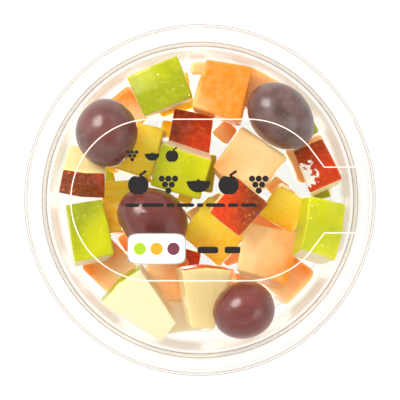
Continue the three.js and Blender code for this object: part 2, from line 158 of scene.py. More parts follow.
# %% The grid
def box_grid(steps):
    """Points on a cube from -1 to 1, on a grid of this many steps a side, and outward faces."""
    i, j = np.meshgrid(np.arange(steps), np.arange(steps), indexing="ij")
    places = []
    for axis in range(3):
        for side in (0, steps):
            around = [(i, j), (i + 1, j), (i + 1, j + 1), (i, j + 1)]
            corners = np.empty((steps * steps, 4, 3), np.int64)
            for number, (u, v) in enumerate(around if side else around[::-1]):
                corners[:, number, axis] = side
                corners[:, number, (axis + 1) % 3] = u.ravel()
                corners[:, number, (axis + 2) % 3] = v.ravel()
            places.append(corners)
    unique, inverse = np.unique(np.concatenate(places).reshape(-1, 3), axis=0, return_inverse=True)
    return 2 * unique / steps - 1, inverse.reshape(-1, 4)


GRIDS = {steps: box_grid(steps) for steps in (((18, 44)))}
FINE = max(GRIDS)
COARSE = min(GRIDS)
print("a shown block has", len(GRIDS[FINE][1]), "faces and a buried one", len(GRIDS[COARSE][1]))


# %% The rays
def facets_of(points, triangles):
    """Each facet's outward normal, area and distance from the origin."""
    a, b, c = (points[triangles[:, k]] for k in range(3))
    normals = np.cross(b - a, c - a)
    areas = np.linalg.norm(normals, axis=1)
    normals = normals / areas[:, None]
    return normals, areas / 2, (normals * a).sum(1)


def out_to_planes(directions, normals, distances):
    """How far a ray from the origin runs to the first plane that it leaves by: the least of the plane's
    distance divided by the cosine between its normal and the ray."""
    closing = np.maximum(directions @ normals.T, 1e-6)
    return (distances / closing).min(1)


# %% Rounding and normals
def relaxed(points, faces, passes):
    """Each pass moves every point half way to the mean of its neighbours along the grid."""
    start = np.concatenate([faces, np.roll(faces, 1, 1)]).ravel()
    end = np.concatenate([np.roll(faces, 1, 1), faces]).ravel()
    count = np.bincount(start)
    for _ in range(passes):
        mean = np.stack([np.bincount(start, points[end, k]) for k in range(3)], 1) / count[:, None]
        points = (points + mean) / 2
    return points


def point_normals(points, faces):
    """The sum of the faces' normals round each point, made one long. A face's normal is the cross
    product of its two diagonals."""
    a, b, c, d = (points[faces[:, k]] for k in range(4))
    across = np.cross(c - a, d - b)
    total = np.stack([sum(np.bincount(faces[:, corner], across[:, k], len(points)) for corner in range(4))
                      for k in range(3)], 1)
    return total / np.maximum(np.linalg.norm(total, axis=1), 1e-12)[:, None]


# %% [markdown]
# ## Which way a block lies
# A block came from a fruit with a skin, and its fibres ran one way, so its own axes matter. They are found
# from the solid's big flat sides, rather than typed in for each block, so a block that is moved or turned
# keeps its skin and its fibres. On an apple cube the skin is the bulging side, so it is the one with no
# flat facet big enough to count, or, on a plain buried cube, the wider end of the cut wedge.

# %% Find a block's axes
SAME_WAY = 0.9990  # cosine under which two facets count as different sides
BIG_SIDE = 0.055  # share of the whole surface from which a side counts as big
OPEN_SIDE = 0.5  # share of the biggest side that the flat sides' sum reaches where one side bulges
OPPOSITE = -0.9  # cosine under which two sides face opposite ways
CROSSWISE = 0.5  # cosine under which two sides stand across each other


def big_sides(normals, areas):
    """The normals of the big flat sides, biggest first, with their areas."""
    left = np.ones(len(areas), bool)
    sides = []
    for number in np.argsort(-areas):
        if not left[number]:
            continue
        same = left & (normals @ normals[number] > SAME_WAY)
        left &= ~same
        mean = (normals[same] * areas[same, None]).sum(0)
        sides.append((areas[same].sum(), mean / np.linalg.norm(mean)))
    sides.sort(key=lambda side: -side[0])
    return [side for side in sides if side[0] > BIG_SIDE * areas.sum()]


def skin_side(sides):
    """The way an apple block's skin faces. The flat sides' areas times their normals add up to the
    opposite of what the bulging side's facets add up to. Where that is next to nothing, all sides are
    flat, and the skin is the wider of the two most unequal ends."""
    total = sum(area * normal for area, normal in sides)
    if np.linalg.norm(total) > OPEN_SIDE * sides[0][0]:
        return -total / np.linalg.norm(total)
    ends = {}
    for area, normal in sides:
        opposite = [other_area for other_area, other in sides if normal @ other < OPPOSITE]
        if opposite:
            ends[area / opposite[0]] = normal
    return ends[max(ends)]


def block_axes(normals, areas, apple):
    """Three axes as rows: the last one points out of the skin, the others along the cut sides."""
    sides = big_sides(normals, areas)
    up = skin_side(sides) if apple else sides[0][1]
    across = next(normal for _, normal in sides if abs(normal @ up) < CROSSWISE)
    across = across - (across @ up) * up
    across /= np.linalg.norm(across)
    return np.stack([across, np.cross(up, across), up])


# %% [markdown]
# ## Shader helpers
# A material is a small graph of nodes, and the same three patterns come back in every fruit: soft
# mottling, fibres and tiny specks. Each is built once as a node group with named inputs. A short helper
# adds a node, sets its options and joins its inputs, so that each material reads as a list of steps.

# %% Add a node and join it
def add(tree, kind, inputs=None, **options):
    """A new node with its options and inputs set. An input that is a socket is joined."""
    made = tree.nodes.new(kind)
    for key, value in options.items():
        setattr(made, key, value)
    for key, value in (inputs or {}).items():
        if isinstance(value, bpy.types.NodeSocket):
            tree.links.new(value, made.inputs[key])
        else:
            made.inputs[key].default_value = value
    return made


def sums(tree, operation, first, second, clamp=False):
    """One step of arithmetic on two values."""
    made = add(tree, "ShaderNodeMath", {0: first, 1: second}, operation=operation, use_clamp=clamp)
    return made.outputs[0]


def ramp(tree, value, low, high, to_low=0.0, to_high=1.0):
    """Moves values from one span to another, with soft ends."""
    span = {"Value": value, "From Min": low, "From Max": high, "To Min": to_low, "To Max": to_high}
    return add(tree, "ShaderNodeMapRange", span, interpolation_type="SMOOTHSTEP").outputs["Result"]


def colour_input(value):
    """A socket as it is, or a plain colour made opaque."""
    return value if isinstance(value, bpy.types.NodeSocket) else (*value, 1.0)


def blend(tree, share, first, second):
    """Goes from the first colour to the second."""
    inputs = {0: share, 6: colour_input(first), 7: colour_input(second)}
    return add(tree, "ShaderNodeMix", inputs, data_type="RGBA").outputs[2]


def from_screen(code):
    """A screen colour such as c8cf2a as the linear red, green and blue that shaders take."""
    shares = np.array([int(code[k:k + 2], 16) / 255 for k in (0, 2, 4)])
    linear = np.where(shares <= 0.04045, shares / 12.92, ((shares + 0.055) / 1.055) ** 2.4)
    return tuple(float(value) for value in linear)


# %% Build the shared patterns
FIBRE_STRETCH = (1.0, 1.0, 0.13)  # the pattern is this much coarser along its third axis


def new_group(name, *numbers):
    """An empty node group that takes a place and some named numbers and gives one value."""
    group = bpy.data.node_groups.new(name, "ShaderNodeTree")
    group.interface.new_socket("Vector", in_out="INPUT", socket_type="NodeSocketVector")
    for key in numbers:
        group.interface.new_socket(key, in_out="INPUT", socket_type="NodeSocketFloat")
    group.interface.new_socket("Value", in_out="OUTPUT", socket_type="NodeSocketFloat")
    return group, group.nodes.new("NodeGroupInput"), group.nodes.new("NodeGroupOutput")


def mottling_group():
    """Soft patches from 0 to 1."""
    group, given, out = new_group("soft_mottling", "Scale")
    noise = add(group, "ShaderNodeTexNoise",
                {"Vector": given.outputs["Vector"], "Scale": given.outputs["Scale"], "Detail": 4.0})
    group.links.new(ramp(group, noise.outputs["Fac"], 0.3, 0.7), out.inputs["Value"])
    return group


def fibre_group():
    """Streaks that run along the pattern's third axis, from 0 to 1."""
    group, given, out = new_group("fibres", "Scale")
    drawn = add(group, "ShaderNodeMapping", {"Vector": given.outputs["Vector"], "Scale": FIBRE_STRETCH})
    noise = add(group, "ShaderNodeTexNoise", {"Vector": drawn.outputs["Vector"],
                "Scale": given.outputs["Scale"], "Detail": 5.0, "Distortion": 0.4})
    group.links.new(ramp(group, noise.outputs["Fac"], 0.32, 0.68), out.inputs["Value"])
    return group


def speck_group():
    """Small dots, each inside its own cell, of uneven size: 1 in a dot and 0 outside."""
    group, given, out = new_group("specks", "Scale", "Size")
    cells = add(group, "ShaderNodeTexVoronoi",
                {"Vector": given.outputs["Vector"], "Scale": given.outputs["Scale"]})
    odds = add(group, "ShaderNodeSeparateColor", {"Color": cells.outputs["Color"]}).outputs[0]
    size = sums(group, "MULTIPLY", odds, given.outputs["Size"])
    inside = sums(group, "SUBTRACT", size, cells.outputs["Distance"])
    group.links.new(ramp(group, inside, 0.0, 0.05), out.inputs["Value"])
    return group


MOTTLING = mottling_group()
FIBRES = fibre_group()
SPECKS = speck_group()
print("shared patterns:", [group.name for group in (MOTTLING, FIBRES, SPECKS)])


# %% Use a pattern or an attribute in a material
def pattern(tree, group, **inputs):
    """A shared pattern on the piece's own axes, in millimetres, as the attribute own_mm holds them."""
    own = add(tree, "ShaderNodeAttribute", attribute_name="own_mm").outputs["Vector"]
    return add(tree, "ShaderNodeGroup", {"Vector": own, **inputs}, node_tree=group).outputs["Value"]


def value_of(tree, attribute):
    """A number that each point of the piece carries."""
    return add(tree, "ShaderNodeAttribute", attribute_name=attribute).outputs["Fac"]


def new_material(name):
    """An empty material and its node tree."""
    material = bpy.data.materials.new(name)
    material.use_nodes = True
    material.node_tree.nodes.clear()
    return material, material.node_tree


def finish_material(tree, shader):
    """Joins the last shader to the material's output."""
    add(tree, "ShaderNodeOutputMaterial", {"Surface": shader})


# %% [markdown]
# ## Apple
# An apple cube shows two things: skin on one side, and flesh that was cut moments before it was packed, on
# the five others. One material holds both and chooses by an attribute, so the skin ends where the knife
# left it. Flesh is cream, a little green for the first millimetre or two under the skin, and light
# goes some way into it. The skin is waxy, with pale specks and streaks, and each piece has a lighter and a
# darker side, which is partly the skin's own tone and partly painted light and shade. Two materials and a
# cut between them would do as well, but one material needs no second mesh. One red cube has a white spot,
# most likely a wet shine. It is painted here as a pale patch with a ragged edge, which is a shortcut and
# not good practice: a real shine comes from the coat and a lamp and moves with the view, and this patch
# stays where it is.

# %% Apple materials
FLESH_UNDER_SKIN = from_screen("e6e29c")
FLESH_VEIN = from_screen("eedfa6")
SHINE_COLOUR = from_screen("fff8f0")
SKIN_LOOKS = {
    "green_apple": {"light": "d2d208", "deep": "969e0c", "far": "dcd64a", "speck": "f2f2b8",
                    "flesh": "e6d8b6", "mottle": 0.25},
    "red_apple": {"light": "ea3e10", "deep": "7a2e14", "far": "fa7c1c", "speck": "f8b060",
                  "flesh": "ead092", "mottle": 0.4},
}


def apple_material(kind, look):
    """Skin and flesh in one material, chosen by the attribute skin."""
    material, tree = new_material(kind)
    light, deep, far, speck, cream = (
        from_screen(look[key]) for key in ("light", "deep", "far", "speck", "flesh"))
    patches = sums(tree, "MULTIPLY", pattern(tree, MOTTLING, Scale=0.085), 0.5)
    # the depth attribute gives each skin a darker side: partly its own tone, partly painted light and shade
    shade = sums(tree, "ADD", patches, value_of(tree, "depth"), clamp=True)
    mottle = sums(tree, "MULTIPLY", pattern(tree, MOTTLING, Scale=0.9), pattern(tree, FIBRES, Scale=0.8))
    freckles = pattern(tree, SPECKS, Scale=0.5, Size=0.2)
    skin = blend(tree, shade, light, deep)
    skin = blend(tree, sums(tree, "MULTIPLY", mottle, look["mottle"]), skin, far)
    skin = blend(tree, sums(tree, "MULTIPLY", freckles, 0.6), skin, speck)
    spots = sums(tree, "MULTIPLY", sums(tree, "SUBTRACT", pattern(tree, MOTTLING, Scale=0.7), 0.5), 0.6)
    shine = ramp(tree, sums(tree, "ADD", value_of(tree, "shine"), spots), 0.34, 0.44)
    skin = blend(tree, shine, skin, SHINE_COLOUR)
    veins = pattern(tree, FIBRES, Scale=0.55)
    below = ramp(tree, value_of(tree, "below_skin"), 0.3, 3.2)
    flesh = blend(tree, below, FLESH_UNDER_SKIN, cream)
    flesh = blend(tree, sums(tree, "MULTIPLY", veins, 0.35), flesh, FLESH_VEIN)
    ragged = sums(tree, "MULTIPLY", sums(tree, "SUBTRACT", veins, 0.5), 0.1)
    edge = ramp(tree, sums(tree, "ADD", value_of(tree, "skin"), ragged), 0.45, 0.6)
    grain = sums(tree, "MULTIPLY", pattern(tree, MOTTLING, Scale=2.6), sums(tree, "SUBTRACT", 1.0, edge))
    relief = add(tree, "ShaderNodeBump", {"Height": grain, "Strength": 0.35, "Distance": 0.0002})
    shader = add(tree, "ShaderNodeBsdfPrincipled", {
        "Base Color": blend(tree, edge, flesh, skin),
        "Roughness": ramp(tree, edge, 0.0, 1.0, 0.42, 0.27),
        "Specular IOR Level": 0.25,
        "Normal": relief.outputs["Normal"],
        "Subsurface Weight": 0.35,
        "Subsurface Radius": (1.0, 0.9, 0.4),
        "Subsurface Scale": 0.003,
        "Coat Weight": 0.18,
        "Coat Roughness": 0.08,
    })
    finish_material(tree, shader.outputs[0])
    return material


MATERIALS = {kind: apple_material(kind, look) for kind, look in SKIN_LOOKS.items()}
print("apple materials:", sorted(MATERIALS))

# %% [markdown]
# ## Melon
# Ripe melon is wet and lets light in, so its edges glow and its colour drifts from peach to deep orange.
# Fibres run through it from the rind to the seeds. The yellow kind is clearer, with long pale streaks.
# Both are the same graph with other colours, and the streaks follow each block's own axes. Subsurface
# scattering gives the glow, which plain colour can't, as it stays dull where the light comes from behind.
# The colour is also painted deeper orange towards each block's lower sides, which is painted glow.

# %% Melon materials
MELON_LOOKS = {
    "melon": {"pale": "fad6a0", "full": "ea8600", "streak": "ffe6b4",
              "streaks": 0.12, "fibres": 0.5},
    "yellow_melon": {"pale": "ffe028", "full": "ffbe00", "streak": "fff090",
                     "streaks": 0.3, "fibres": 0.62},
}


def melon_material(kind, look):
    """Wet translucent flesh with drifting colour and pale fibres."""
    material, tree = new_material(kind)
    pale, full, streak = (from_screen(look[key]) for key in ("pale", "full", "streak"))
    drift = pattern(tree, MOTTLING, Scale=0.07)
    # the depth attribute is partly the melon's own tone and partly painted glow, deeper orange lower down
    ripeness_and_painted_glow = sums(tree, "ADD", sums(tree, "MULTIPLY", drift, 0.4), value_of(tree, "depth"), clamp=True)
    fibres = pattern(tree, FIBRES, Scale=look["fibres"])
    grain = pattern(tree, MOTTLING, Scale=3.4)
    colour = blend(tree, ripeness_and_painted_glow, pale, full)
    colour = blend(tree, sums(tree, "MULTIPLY", fibres, look["streaks"]), colour, streak)
    rough = sums(tree, "ADD", sums(tree, "MULTIPLY", fibres, 0.5), grain)
    relief = add(tree, "ShaderNodeBump", {"Height": rough, "Strength": 0.45, "Distance": 0.00012})
    shader = add(tree, "ShaderNodeBsdfPrincipled", {
        "Base Color": colour,
        "Roughness": ramp(tree, grain, 0.0, 1.0, 0.28, 0.5),
        "Specular IOR Level": 0.2,
        "Normal": relief.outputs["Normal"],
        "Subsurface Weight": 0.85,
        "Subsurface Radius": (1.0, 0.72, 0.25),
        "Subsurface Scale": 0.004,
        "Coat Weight": 0.15,
        "Coat Roughness": 0.12,
    })
    finish_material(tree, shader.outputs[0])
    return material


MATERIALS |= {kind: melon_material(kind, look) for kind, look in MELON_LOOKS.items()}
print("materials so far:", sorted(MATERIALS))

# %% [markdown]
# ## Blocks of apple and melon
# Now each block's CAD solid is dressed. A bevel would round every edge alike, which looks machined, so
# the grid is thrown onto the solid's planes and relaxed, which rounds the knife edges softly, and the
# unevenness is added along the normals: a slump, and for melon shallow fibres along one axis. Attributes
# tell the material where the skin is, how deep the colour is towards each side, which is partly the
# fruit's own tone and partly painted light, shade and glow, and where the shine is painted. Eleven blocks
# in view have their own values for that, set against the photo, because chance would put the deeper sides
# elsewhere. They fit that one picture and its light, and nothing more.

# %% Values for the blocks
SLUMP = 0.28 * MM  # how far a cut side wanders from flat
SLUMP_CELL = 6.5 * MM
SLUMP_INWARD = 0.6  # how far, in slumps, the mean surface lies inside the solid
APPLE_SLUMP = 0.4  # share of the slump that firm apple shows
FIBRE_DEPTH = 0.07 * MM
FIBRE_CELLS = np.array([1.6, 1.6, 11]) * MM
FIBRE_SEED = 50  # sets the fibres' random draw apart from the slump's
PATTERN_SHIFT = 40.0  # mm from one piece's place in the patterns to the next one's
SKIN_FACING = (0.4, 0.65)  # cosines to the skin's way between which the surface turns into skin
# this solid leans so far that a cut side shows where the real piece shows skin, so its skin is carried
# over that side, which hides the lean but doesn't mend it
WRAPPED_PIECE = "green_apple_7"
WRAPPED_WAY = np.array([-0.89, 0.25, 0.37])  # the way in which that side faces
SHINE_PIECE = "red_apple_7"  # the one piece that gets the painted shine
SHINE_AT = np.array([-4.0, -3.0, 0]) * MM  # from the piece's middle
SHINE_REACH = 6.5 * MM  # from the spot's middle to where it has faded out
BURIED_BELOW = 0.33  # share of the heap's height under which a block is seen only through the wall
DEPTH_SLOPE = 0.45  # how much deeper the colour is at a side than in the middle
APPLE_LEVEL, MELON_LEVEL = 0.2, 0.5  # the colour's depth in the middle where no other is given
# a rise below zero, as for melon, puts the deeper colour on the lower sides, which is painted glow
APPLE_RISE, MELON_RISE = 0.2, -0.6  # how much the deeper side lies upwards
CHANCE_TURN = 57  # degrees that the deeper side turns from one block to the next where none is given
# (angle, depth): towards which side, in degrees from +X in plan, a melon is deepest orange or a skin
# darkest, and how far it is so in the middle; partly the fruit's own tone and partly painted light, shade
# and glow
DEPTHS = {"melon_15": (0, 1.3), "melon_16": (195, 0.0), "melon_17": (330, 0.5), "red_apple_4": (130, 0.25),
          "red_apple_6": (200, 0.75), "red_apple_7": (130, 0.1), "red_apple_8": (0, 0.15),
          "green_apple_6": (160, 0.3), "green_apple_7": (200, -0.25), "green_apple_9": (300, 0.8),
          "green_apple_10": (160, -0.4)}


# %% Dress the blocks
def skin_attributes(name, surface, outward, axes):
    """Where an apple block's skin is, how far each point lies under it, and where the shine is painted."""
    facing = outward[:, 2]
    if name == WRAPPED_PIECE:
        facing = np.maximum(facing, outward @ axes @ WRAPPED_WAY)
    away = np.linalg.norm((surface @ axes - SHINE_AT)[:, :2], axis=1)
    return {
        "skin": np.clip((facing - SKIN_FACING[0]) / (SKIN_FACING[1] - SKIN_FACING[0]), 0, 1),
        "below_skin": (surface[:, 2].max() - surface[:, 2]) / MM,
        "shine": np.clip(1 - away / SHINE_REACH, 0, 1) * (name == SHINE_PIECE),
    }


def dressed_block(name, seed):
    """The grid thrown from the block's middle onto its facets' planes, relaxed, then moved along its
    normals by random heights."""
    kind = re.sub(r"(_offcut)?_\d+$", "", name)
    apple = kind.endswith("apple")
    points, triangles = welded(name)
    normals, areas, _ = facets_of(points, triangles)
    axes = block_axes(normals, areas, apple)
    own = points @ axes.T
    middle = (own.min(0) + own.max(0)) / 2
    half = (own.max(0) - own.min(0)) / 2
    own = own - middle
    normals, areas, distances = facets_of(own, triangles)
    shown = points[:, 2].max() > BURIED_BELOW * cad_box[1].z
    grid, faces = GRIDS[FINE if shown else COARSE]
    rays = grid * half
    rays /= np.linalg.norm(rays, axis=1)[:, None]
    surface = rays * out_to_planes(rays, normals, distances)[:, None]
    surface = relaxed(surface, faces, 2 if apple else 4)
    outward = point_normals(surface, faces)
    height = SLUMP * (lumps(surface, SLUMP_CELL, seed) - SLUMP_INWARD)
    if not apple:
        height += FIBRE_DEPTH * (lumps(surface / FIBRE_CELLS, 1.0, seed + FIBRE_SEED) - 1)
    surface = surface + outward * height[:, None] * (APPLE_SLUMP if apple else 1)
    # the depth attribute: deeper colour towards one side, partly the fruit's own tone and partly painted
    # light, shade and glow
    angle, level = DEPTHS.get(name, (CHANCE_TURN * seed, APPLE_LEVEL if apple else MELON_LEVEL))
    way = [np.cos(np.radians(angle)), np.sin(np.radians(angle)), APPLE_RISE if apple else MELON_RISE]
    attributes = {"own_mm": surface / MM + PATTERN_SHIFT * seed,
                  "depth": np.clip(level + DEPTH_SLOPE * (surface @ axes @ way) / half.min(), 0, 1)}
    if apple:
        attributes |= skin_attributes(name, surface, outward, axes)
    piece = new_piece(f"{name}_cut", (surface + middle) @ axes, faces, MATERIALS[kind], attributes)
    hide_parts(name)
    return len(faces)


fruit_names = sorted(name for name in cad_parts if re.search(r"_\d+$", name))
blocks = [name for name in fruit_names if not name.startswith("grape")]
total = sum(dressed_block(name, seed) for seed, name in enumerate(blocks, 1))
print(len(blocks), "blocks with", total, "faces")

# %% [markdown]
# ## Grapes
# A grape is an egg turned about its long axis, with a small sunk scar where the stalk was. Its skin is
# thin and glossy, red-brown with darker clouds, and carries a greyish bloom that is rubbed off in places.
# Real grapes are never quite round, so the egg gets a few broad swellings. The box's grid makes the egg,
# because it has no pole whose narrow faces would pinch beside the scar.

# %% Grape material
GRAPE_DARK = from_screen("341210")
GRAPE_RED = from_screen("742a24")
GRAPE_BLOOM = from_screen("85706e")
GRAPE_SPECK = from_screen("b88a7c")


def grape_material():
    """Glossy clouded skin under a thin grey bloom."""
    material, tree = new_material("grape")
    clouds = sums(tree, "ADD", sums(tree, "MULTIPLY", pattern(tree, MOTTLING, Scale=0.09), 0.4),
                  value_of(tree, "red"), clamp=True)
    dusting = ramp(tree, pattern(tree, MOTTLING, Scale=0.22), 0.0, 1.0, 0.3, 0.75)
    bloom = sums(tree, "MULTIPLY", dusting, value_of(tree, "bloom"))
    freckles = pattern(tree, SPECKS, Scale=0.7, Size=0.25)
    colour = blend(tree, clouds, GRAPE_DARK, GRAPE_RED)
    colour = blend(tree, sums(tree, "MULTIPLY", freckles, 0.35), colour, GRAPE_SPECK)
    colour = blend(tree, bloom, colour, GRAPE_BLOOM)
    shader = add(tree, "ShaderNodeBsdfPrincipled", {
        "Base Color": colour,
        "Roughness": ramp(tree, bloom, 0.0, 0.6, 0.3, 0.48),
        "Specular IOR Level": 0.45,
        "Subsurface Weight": 0.08,
        "Subsurface Radius": (1.0, 0.35, 0.3),
        "Subsurface Scale": 0.002,
        "Coat Weight": 0.45,
        "Coat Roughness": 0.12,
    })
    finish_material(tree, shader.outputs[0])
    return material


MATERIALS["grape"] = grape_material()

# %% Dress the grapes
SCAR_RADIUS = 0.16  # share of the grape's half width
SCAR_DEPTH = 0.55 * MM
PLUMPER = 0.05  # how much wider than an egg of even ends the thick end is
GRAPE_SWELL = 0.3 * MM
SWELL_CELL = 11 * MM
# how much bloom lies on each grape, and how red its skin is
BLOOM_OF = {"grape_1": 0.1, "grape_2": 0.35, "grape_3": 0.65, "grape_4": 0.1}
REDNESS_OF = {"grape_1": 0.55, "grape_2": 0.35, "grape_3": 0.0, "grape_4": 0.6}


def dressed_grape(name, seed):
    """The unit sphere stretched to the grape's length and width, plumper towards one end, with a smooth
    pit of depth e^(-(distance / radius)^2) at the other and broad random swellings."""
    points, _ = welded(name)
    centre = (points.min(0) + points.max(0)) / 2
    spread = np.linalg.eigh(np.cov((points - centre).T))[1].T[::-1]
    own = (points - centre) @ spread.T
    if own[:, 0].max() < -own[:, 0].min():
        spread = -spread
        own = -own
    if np.linalg.det(spread) < 0:
        spread[2] *= -1
        own[:, 2] *= -1
    half = (own.max(0) - own.min(0)) / 2
    half[1:] = half[1:].mean()
    grid, faces = GRIDS[FINE]
    ball = grid / np.linalg.norm(grid, axis=1)[:, None]
    surface = ball * half
    surface[:, 1:] *= 1 + PLUMPER * ball[:, :1]
    away = np.linalg.norm(ball[:, 1:], axis=1) / SCAR_RADIUS
    pit = SCAR_DEPTH * np.exp(-away ** 2) * (ball[:, 0] < 0)
    swell = GRAPE_SWELL * (lumps(surface, SWELL_CELL, seed) - 0.5)
    surface = surface + ball * (swell - pit)[:, None]
    attributes = {"own_mm": surface / MM + PATTERN_SHIFT * seed,
                  "bloom": np.full(len(surface), BLOOM_OF[name]),
                  "red": np.full(len(surface), REDNESS_OF[name])}
    piece = new_piece(f"{name}_whole", surface @ spread + centre, faces, MATERIALS["grape"], attributes)
    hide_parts(name)
    return 2 * half / MM


for seed, name in enumerate(sorted(BLOOM_OF), 1):
    print(name, "in mm:", dressed_grape(name, seed).round(1))

# %% [markdown]
# ## Clear plastic
# Thin clear plastic hardly bends what lies behind it. It shows by three things: it mirrors its
# surroundings, most at a glancing angle, it looks darker where the view runs along a wall, and each sharp
# bend shows as a thin brown line where it refracts the light. So the material mixes plain transparency
# with a mirror by how steeply the wall is seen, tints the transparency by the same measure, and paints
# the bends' lines, as painted refraction, from the distance to the tub's axis. That costs far less than
# refraction.

# %% Plastic materials
PLASTIC_FACING = from_screen("fefefd")
TUB_ALONG = from_screen("f0ebe4")
LID_ALONG = from_screen("faf7f3")
PAINTED_REFRACTION_BROWN = from_screen("a8937e")
# the painted refraction line at each bend as [radius, half width, strength], the first two in mm
TUB_BENDS = ((44.3, 0.3, 0.15), (48.6, 0.25, 0.12))
LID_BENDS = ((51.1, 0.3, 0.55), (52.35, 0.3, 0.45), (56.3, 0.2, 0.05), (57.5, 0.25, 0.25),
             (58.35, 0.3, 0.5))


def painted_refraction_lines(tree, bends):
    """Painted refraction: thin rings round the upright axis, each at its strength on its radius and fading
    to either side.
    """
    where = add(tree, "ShaderNodeTexCoord").outputs["Object"]
    across = add(tree, "ShaderNodeVectorMath", {0: where, 1: (1 / MM, 1 / MM, 0.0)}, operation="MULTIPLY")
    length = add(tree, "ShaderNodeVectorMath", {0: across.outputs["Vector"]}, operation="LENGTH")
    radius = length.outputs["Value"]
    lines = 0.0
    for bend_radius, half_width, strength in bends:
        away = sums(tree, "ABSOLUTE", sums(tree, "SUBTRACT", radius, bend_radius), 0.0)
        lines = sums(tree, "MAXIMUM", lines, ramp(tree, away, 0.0, half_width, strength, 0.0))
    return lines


def clear_material(name, along, facing_gloss, along_gloss, roughness, bends=()):
    """Transparency, tinted where the wall is seen along its face, with painted refraction lines where it
    bends and a share of mirror.
    """
    material, tree = new_material(name)
    steep = add(tree, "ShaderNodeLayerWeight", {"Blend": 0.5}).outputs["Facing"]
    tint = blend(tree, ramp(tree, steep, 0.3, 1.0), PLASTIC_FACING, along)
    # painted refraction: thin brown lines on the bends' radii, the same in every view and light
    tint = blend(tree, painted_refraction_lines(tree, bends), tint, PAINTED_REFRACTION_BROWN)
    through = add(tree, "ShaderNodeBsdfTransparent", {"Color": tint})
    coat = add(tree, "ShaderNodeBsdfPrincipled", {"Base Color": (1, 1, 1, 1), "Metallic": 1.0,
                                                  "Roughness": roughness})
    share = ramp(tree, steep, 0.2, 1.0, facing_gloss, along_gloss)
    mixed = add(tree, "ShaderNodeMixShader", {0: share, 1: through.outputs[0], 2: coat.outputs[0]})
    finish_material(tree, mixed.outputs[0])
    return material


# for each, how much mirrors face on and how much along the sheet, and how rough the mirror is
MATERIALS["tub"] = clear_material("tub_plastic", TUB_ALONG, 0.004, 0.14, 0.35, TUB_BENDS)
MATERIALS["lid"] = clear_material("lid_plastic", LID_ALONG, 0.004, 0.2, 0.1, LID_BENDS)
MATERIALS["clear_film"] = clear_material("clear_film", PLASTIC_FACING, 0.003, 0.1, 0.2)

# %% [markdown]
# ## Tub and lid
# Both are sheet plastic drawn over a round mould, so each is one line turned about the upright axis. The
# line is read off the CAD node, where its half plane cuts the facets, and its corners are eased with short
# curves as a mould's are. A Screw modifier could turn it too, but arrays close the poles at once. It is
# turned in many small steps, because a round rim is judged by its outline.

# %% Turn a line about the upright axis
TURN_STEPS = 240
EASE = 0.2 * MM  # how far before and after a corner its rounding starts
LONGEST_EASE = 0.37  # share of a straight that a rounding may use up
EASE_STEPS = 4
NEARLY = 0.002 * MM  # a point this close to a plane or to the axis lies on it


def cad_line(name):
    """The [radius, height] line of a turned CAD node: its points in the half plane y = 0, x >= 0, in the
    order in which the facets' edges join them, from the upper side's point on the axis to the lower's."""
    points, triangles = welded(name)
    flat = (np.abs(points[:, 1]) < NEARLY) & (points[:, 0] > -NEARLY)
    edges = np.concatenate([triangles[:, [0, 1]], triangles[:, [1, 2]], triangles[:, [2, 0]]])
    edges = edges[flat[edges].all(1)]
    joined = {}
    for a, b in edges.tolist():
        joined.setdefault(a, set()).add(b)
        joined.setdefault(b, set()).add(a)
    on_axis = [number for number in joined if points[number, 0] < NEARLY]
    walk = [max(on_axis, key=lambda number: points[number, 2])]
    while len(walk) < len(joined):
        walk.append(next(number for number in joined[walk[-1]] if number not in walk))
    return points[walk][:, [0, 2]]


def eased(line):
    """Each corner is replaced by a curve from a little before it to a little after it, with the corner as
    the curve's control point: (1-t)^2 a + 2t(1-t) corner + t^2 b."""
    pieces = [line[:1]]
    t = np.linspace(0, 1, EASE_STEPS + 1)[:, None]
    for before, corner, after in zip(line[:-2], line[1:-1], line[2:]):
        back, on = before - corner, after - corner
        back = back * min(EASE / np.linalg.norm(back), LONGEST_EASE)
        on = on * min(EASE / np.linalg.norm(on), LONGEST_EASE)
        pieces.append(corner + (1 - t) ** 2 * back + t ** 2 * on)
    return np.concatenate([*pieces, line[-1:]])


def turned(line, steps):
    """A line from the axis out and back to the axis, turned: point (i, j) is at radius_i and angle_j."""
    angles = 2 * np.pi * np.arange(steps) / steps
    radius, height = line[:, :1], line[:, 1:]
    points = np.stack([radius * np.cos(angles), radius * np.sin(angles), height + 0 * angles], 2)
    number = np.arange(len(line) * steps).reshape(len(line), steps)
    on_axis = line[:, 0] < NEARLY
    number[on_axis] = number[on_axis][:, :1]
    used, number = np.unique(number, return_inverse=True)
    number = number.reshape(len(line), steps)
    beside = np.roll(number, -1, axis=1)
    faces = np.stack([number[:-1], number[1:], beside[1:], beside[:-1]], 2).reshape(-1, 4)
    return points.reshape(-1, 3)[used], faces


LINES = {name: eased(cad_line(name)) for name in ("tub", "lid")}
for name, line in LINES.items():
    points, faces = turned(line, TURN_STEPS)
    piece = new_piece(f"{name}_shell", points, faces, MATERIALS[name])
    piece.visible_shadow = False
    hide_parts(name)
    print(name, "line has", len(line), "points and the shell", len(faces), "faces")

# %% [markdown]
# ## The seal label
# The label is clear film. What shows is the white line printed along its edge: two round ends, shoulders
# and a neck that runs over the rim. The film itself is the CAD node with a clear material. The line is a
# thin ribbon carried along a path in plan, and its height follows the lid's own line. A stripe in the
# film's material could draw it, but a ribbon has a crisp edge and keeps its place in every view.

# %% Lay points on the lid
BORDER_WIDTH = 0.36 * MM
PRINT_LIFT = 0.36 * MM  # above the lid, so just above the film
PRINT_THICKNESS = 0.05 * MM
lid_top = LINES["lid"][:int(np.argmax(LINES["lid"][:, 0]))]


def on_lid(plan, lift):
    """Points in plan, raised to this height above the lid's upper side."""
    height = np.interp(np.hypot(plan[:, 0], plan[:, 1]), lid_top[:, 0], lid_top[:, 1])
    return np.column_stack([plan, height + lift])


